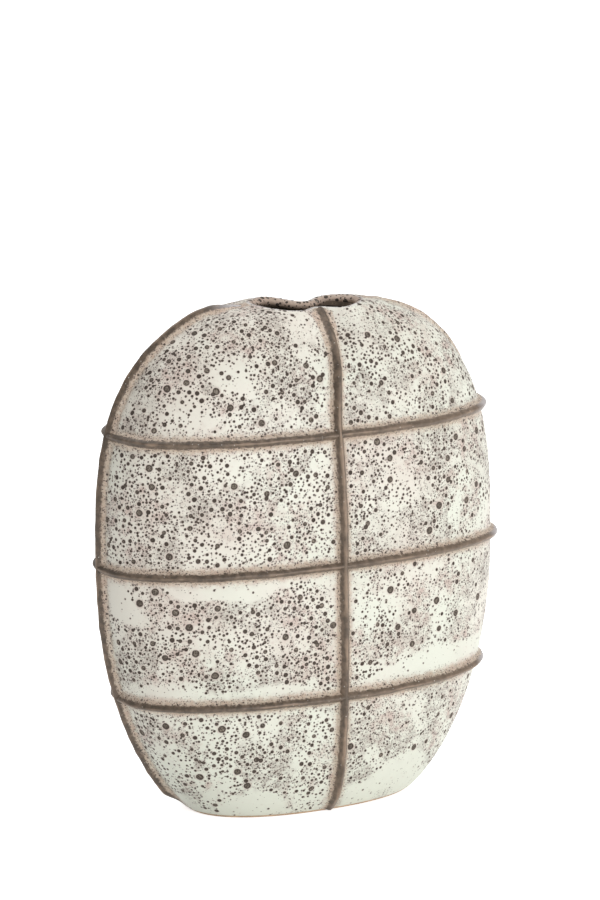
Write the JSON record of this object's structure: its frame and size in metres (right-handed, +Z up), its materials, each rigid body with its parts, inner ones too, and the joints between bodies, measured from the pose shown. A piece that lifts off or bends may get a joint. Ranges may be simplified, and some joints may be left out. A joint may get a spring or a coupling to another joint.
{
  "type": "pillow vase",
  "caption": "Flattened oval stoneware vase with a mouth pinched into two lobes and a net of raised clay ribs, for cut or dried stems.",
  "frame": {"origin": "on the ground under the middle of the foot", "axes": "+Z up; the front face looks towards -Y; +X is to the right of someone facing the front"},
  "size_m": [0.2465, 0.1202, 0.2848],
  "materials": {
    "cratered_glaze": "matt to satin pale glaze, foamed into open craters and pinholes",
    "rib_glaze": "thin dark brown dry glaze that has run off the crests",
    "bare_clay": "unglazed tan stoneware, lightly sanded"
  },
  "bodies": {
    "root": {"floor_slab": "bare_clay", "front_wall": "cratered_glaze", "back_wall": "cratered_glaze", "mouth_collar": "cratered_glaze", "front_rib": "rib_glaze", "back_rib": "rib_glaze", "left_edge_rib": "rib_glaze", "right_edge_rib": "rib_glaze", "upper_rib_front_left": "rib_glaze", "upper_rib_front_right": "rib_glaze", "upper_rib_back_left": "rib_glaze", "upper_rib_back_right": "rib_glaze", "middle_rib_front_left": "rib_glaze", "middle_rib_front_right": "rib_glaze", "middle_rib_back_left": "rib_glaze", "middle_rib_back_right": "rib_glaze", "lower_rib_front_left": "rib_glaze", "lower_rib_front_right": "rib_glaze", "lower_rib_back_left": "rib_glaze", "lower_rib_back_right": "rib_glaze"}
  },
  "joints": []
}
